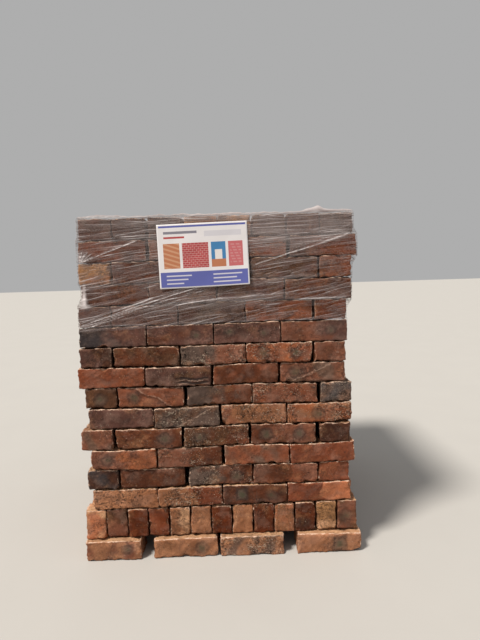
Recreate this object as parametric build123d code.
from build123d import *
import math
import os
import random

# A yard stack of solid clay bricks, set by hand on feet of the same brick and film-wrapped at the top.
# Millimetres. +Z is up, the front faces -Y, and the origin is on the ground under the middle of the feet.

# Brick: a column pushed through a die, so its four long edges are eased, then cut off square.
# Two widths and a mortar joint make one length, so that headers and stretchers bond.
BRICK_WIDTH = 106.0
BRICK_HEIGHT = 71.0
MORTAR_JOINT = 10.0
ARRIS = 4.5  # chamfer on the four long edges

# Joints: bricks are set dry, and these are the gaps that the setter's hands leave.
BUTT_JOINT = 4.0  # end to end, from front to back
LEAST_SIDE_JOINT = 5.0  # side by side, the tightest that is set
EDGE_JOINT = 2.2  # between the bricks that stand on edge
SLIP = 0.3  # share of a joint that a brick may have slipped into
TURN = 0.15  # share of a joint that a brick may have turned into
COURSE_SLIP = 3.0  # how far a whole course may sit forward or back

# Feet: rows of bricks laid flat along the front, with the load standing across them.
FOOT_COUNT = 4
FOOT_BAT = 190.0  # the broken brick under the front left corner
FRONT_FOOT_JOINTS = (40.0, 10.0, 50.0)
INNER_FOOT_JOINT = 24.0
FOOT_TOE = 20.0  # how far the outer feet stand out past the load
FOOT_SWAY = 2.0  # how far a foot may sit forward or back

# Load: bricks on edge first, then flat courses. Each row of the table is one flat course, from the
# bottom up: its bond, how far its middle sits to the right, and its joints along the front.
DEEP_COUNT = 4  # bricks from front to back, end to end
EDGE_DRIFT = -7.0
COURSES = (
    ("stretchers", -1.0, (2.0, 4.0, 2.0)),
    ("closers", -12.0, (9.0, 13.0, 3.0, 7.0)),
    ("stretchers", 5.0, (6.5, 6.0, 6.0)),
    ("closers", -16.0, (11.0, 8.0, 8.0, 12.0)),
    ("stretchers", 0.0, (3.5, 7.0, 3.0)),
    ("closers", -4.0, (7.0, 9.0, 6.0, 9.0)),
    ("stretchers", -23.0, (4.0, 6.5, 5.0)),
    ("closers", -19.0, (9.0, 3.0, 2.0, 9.0)),
    ("stretchers", -14.0, (4.0, 5.0, 2.5)),
    ("closers", -14.0, (2.0, 4.0, 3.0, 9.0)),
    ("stretchers", 2.0, (3.0, 5.0, 4.0)),
    ("closers", -1.0, (5.0, 7.0, 7.0, 8.0)),
    ("stretchers", 8.0, (10.0, 12.0, 10.0)),
    ("headers", 5.0, (9.0, 12.0, 11.0, 6.0, 7.0, 6.0, 5.0)),
)

# Stretch film round the top courses, from a 500 mm roll that necks in as it is pulled tight.
FILM_WIDTH = 470.0
FILM_FOLD = 100.0  # turned in over the top of the stack
FILM_THICKNESS = 1.0  # all the turns and the air between them
FILM_EASE = 0.3  # between the film and the widest bricks

# Printed card of A4 size on the front of the film.
CARD_LENGTH = 297.0
CARD_HEIGHT = 210.0
CARD_THICKNESS = 0.5
CARD_DROP = 23.0  # below the top of the stack
CARD_OFFSET = -38.0
CARD_TILT = 1.2  # degrees, anticlockwise as seen from the front

BRICK_LENGTH = 2 * BRICK_WIDTH + MORTAR_JOINT
LOAD_DEPTH = DEEP_COUNT * BRICK_LENGTH + (DEEP_COUNT - 1) * BUTT_JOINT
ROWS_DEEP = math.floor((LOAD_DEPTH + LEAST_SIDE_JOINT) / (BRICK_WIDTH + LEAST_SIDE_JOINT))
SIDE_JOINT = (LOAD_DEPTH - ROWS_DEEP * BRICK_WIDTH) / (ROWS_DEEP - 1)
FOOT_SPAN = FOOT_COUNT * BRICK_LENGTH + (FOOT_COUNT - 1) * INNER_FOOT_JOINT
BRICKS_ON_EDGE = math.floor((FOOT_SPAN + EDGE_JOINT) / (BRICK_HEIGHT + EDGE_JOINT))
EDGE_TOP = BRICK_HEIGHT + BRICK_WIDTH
STACK_TOP = EDGE_TOP + len(COURSES) * BRICK_HEIGHT
FILM_HEM = STACK_TOP - (FILM_WIDTH - FILM_FOLD)


def make_brick(length=BRICK_LENGTH):
    """One brick lying flat along X, centred on the origin."""
    with BuildPart() as brick:
        with BuildSketch(Plane.YZ) as section:
            Rectangle(BRICK_WIDTH, BRICK_HEIGHT)
            chamfer(section.vertices(), ARRIS)
        extrude(amount=length / 2, both=True)
    return brick.part


BRICK = make_brick()
BRICK_ON_EDGE = BRICK.rotate(Axis.X, 90)


def lay_line(sizes, joints, middle=0.0):
    """Centres of pieces that are set in a line with these joints between them."""
    edge = middle - (sum(sizes) + sum(joints)) / 2
    centres = []
    for size, joint in zip(sizes, (*joints, 0.0)):
        centres.append(edge + size / 2)
        edge += size + joint
    return centres


def set_brick(rng, brick, centre, size, joints, turned=False):
    """A brick put down at a centre, then slipped and turned a little inside the joints round it."""
    slips = [rng.uniform(-SLIP, SLIP) * joint for joint in joints]
    most_turn = 2 * TURN * min(joints[0] / size[1], joints[1] / size[0])
    turn = math.degrees(rng.uniform(-most_turn, most_turn)) + (90 if turned else 0)
    place = (centre[0] + slips[0], centre[1] + slips[1], centre[2])
    return brick.moved(Location(place, (0, 0, turn)))


def set_block(rng, brick, xs, ys, z, size, joints, turned=False):
    """Rows and columns of bricks that all lie the same way."""
    return [set_brick(rng, brick, (x, y, z), size, joints, turned) for x in xs for y in ys]


def lengths_from_front(middle):
    """Centres, from front to back, of bricks laid end to end along Y."""
    return lay_line([BRICK_LENGTH] * DEEP_COUNT, [BUTT_JOINT] * (DEEP_COUNT - 1), middle)


def rows_from_front(middle):
    """Centres, from front to back, of bricks laid side by side along Y."""
    return lay_line([BRICK_WIDTH] * ROWS_DEEP, [SIDE_JOINT] * (ROWS_DEEP - 1), middle)


def flat_course(number, bond, drift, joints):
    """One flat course. Stretchers show their long faces in front, headers their ends, and a course
    with closers has a column of turned bricks at each end, which breaks the joints."""
    rng = random.Random(number)
    z = EDGE_TOP + (number - 0.5) * BRICK_HEIGHT
    middle = rng.uniform(-COURSE_SLIP, COURSE_SLIP)
    along_x = (BRICK_LENGTH, BRICK_WIDTH)
    along_y = (BRICK_WIDTH, BRICK_LENGTH)
    if bond == "stretchers":
        widths = [BRICK_LENGTH] * (len(joints) + 1)
    elif bond == "headers":
        widths = [BRICK_WIDTH] * (len(joints) + 1)
    else:
        widths = [BRICK_WIDTH, *[BRICK_LENGTH] * (len(joints) - 1), BRICK_WIDTH]
    xs = lay_line(widths, joints, drift)
    beside = [min(pair) for pair in zip((joints[0], *joints), (*joints, joints[-1]))]
    bricks = []
    for x, width, joint in zip(xs, widths, beside):
        if width == BRICK_LENGTH:
            ys = rows_from_front(middle)
            bricks += set_block(rng, BRICK, [x], ys, z, along_x, (joint, SIDE_JOINT))
        else:
            ys = lengths_from_front(middle)
            bricks += set_block(rng, BRICK, [x], ys, z, along_y, (joint, BUTT_JOINT), turned=True)
    return bricks


def edge_course():
    """The bricks on edge, ends to the front, that the feet carry."""
    rng = random.Random("edge")
    sizes = [BRICK_HEIGHT] * BRICKS_ON_EDGE
    xs = lay_line(sizes, [EDGE_JOINT] * (BRICKS_ON_EDGE - 1), EDGE_DRIFT)
    z = BRICK_HEIGHT + BRICK_WIDTH / 2
    size = (BRICK_HEIGHT, BRICK_LENGTH)
    ys = lengths_from_front(0.0)
    return set_block(rng, BRICK_ON_EDGE, xs, ys, z, size, (EDGE_JOINT, BUTT_JOINT), turned=True)


def foot_rows():
    """The rows of feet: one flush under each outer face, and one under each joint between."""
    reach = LOAD_DEPTH / 2 + FOOT_TOE - BRICK_WIDTH / 2
    lengths = lengths_from_front(0.0)
    inner = [(a + b) / 2 for a, b in zip(lengths, lengths[1:])]
    rows = []
    for number, y in enumerate([-reach, *inner, reach]):
        rng = random.Random(f"foot {number}")
        sizes = [BRICK_LENGTH] * FOOT_COUNT
        joints = [INNER_FOOT_JOINT] * (FOOT_COUNT - 1)
        if number == 0:
            sizes[0] = FOOT_BAT
            joints = FRONT_FOOT_JOINTS
        xs = lay_line(sizes, joints)
        row = []
        for x, length in zip(xs, sizes):
            slip = rng.uniform(-SLIP, SLIP) * min(joints)
            sway = rng.uniform(-FOOT_SWAY, FOOT_SWAY)
            place = (x + slip, y + sway, BRICK_HEIGHT / 2)
            row.append(make_brick(length).moved(Location(place)))
        rows.append(row)
    return rows


def wrap_film(wrapped):
    """The film: a thin band drawn tight round the widest of the wrapped bricks, turned in over the top.
    It folds sharply on the bricks' corners, so only its outside is round there."""
    width = wrapped.max.X - wrapped.min.X + 2 * FILM_EASE
    depth = wrapped.max.Y - wrapped.min.Y + 2 * FILM_EASE
    drop = STACK_TOP + FILM_EASE - FILM_HEM
    with BuildPart() as film:
        with BuildSketch():
            RectangleRounded(width + 2 * FILM_THICKNESS, depth + 2 * FILM_THICKNESS, FILM_THICKNESS)
        extrude(amount=drop + FILM_THICKNESS)
        with BuildSketch():
            Rectangle(width, depth)
        extrude(amount=drop, mode=Mode.SUBTRACT)
        with BuildSketch():
            Rectangle(width - 2 * FILM_FOLD, depth - 2 * FILM_FOLD)
        extrude(amount=drop + FILM_THICKNESS, mode=Mode.SUBTRACT)
    return film.part.moved(Location((wrapped.center().X, wrapped.center().Y, FILM_HEM)))


def hang_card(film_front):
    """The card, flat against the front of the film."""
    card = Box(CARD_LENGTH, CARD_THICKNESS, CARD_HEIGHT).rotate(Axis.Y, CARD_TILT)
    height = STACK_TOP - CARD_DROP - CARD_HEIGHT / 2
    return card.moved(Location((CARD_OFFSET, film_front - CARD_THICKNESS / 2, height)))


def save(name, solids):
    """Writes one node."""
    export_step(Compound(children=solids, label=name), f"parts/{name}.step")


def main():
    os.makedirs("parts", exist_ok=True)
    for number, row in enumerate(foot_rows(), start=1):
        save(f"foot_row_{number}", row)
    save("edge_course", edge_course())
    wrapped = []
    for number, course in enumerate(COURSES, start=1):
        bricks = flat_course(number, *course)
        save(f"course_{number:02d}", bricks)
        if EDGE_TOP + number * BRICK_HEIGHT > FILM_HEM:
            wrapped += bricks
    film = wrap_film(Compound(children=wrapped).bounding_box())
    save("film_wrap", [film])
    save("info_card", [hang_card(film.bounding_box().min.Y)])


main()
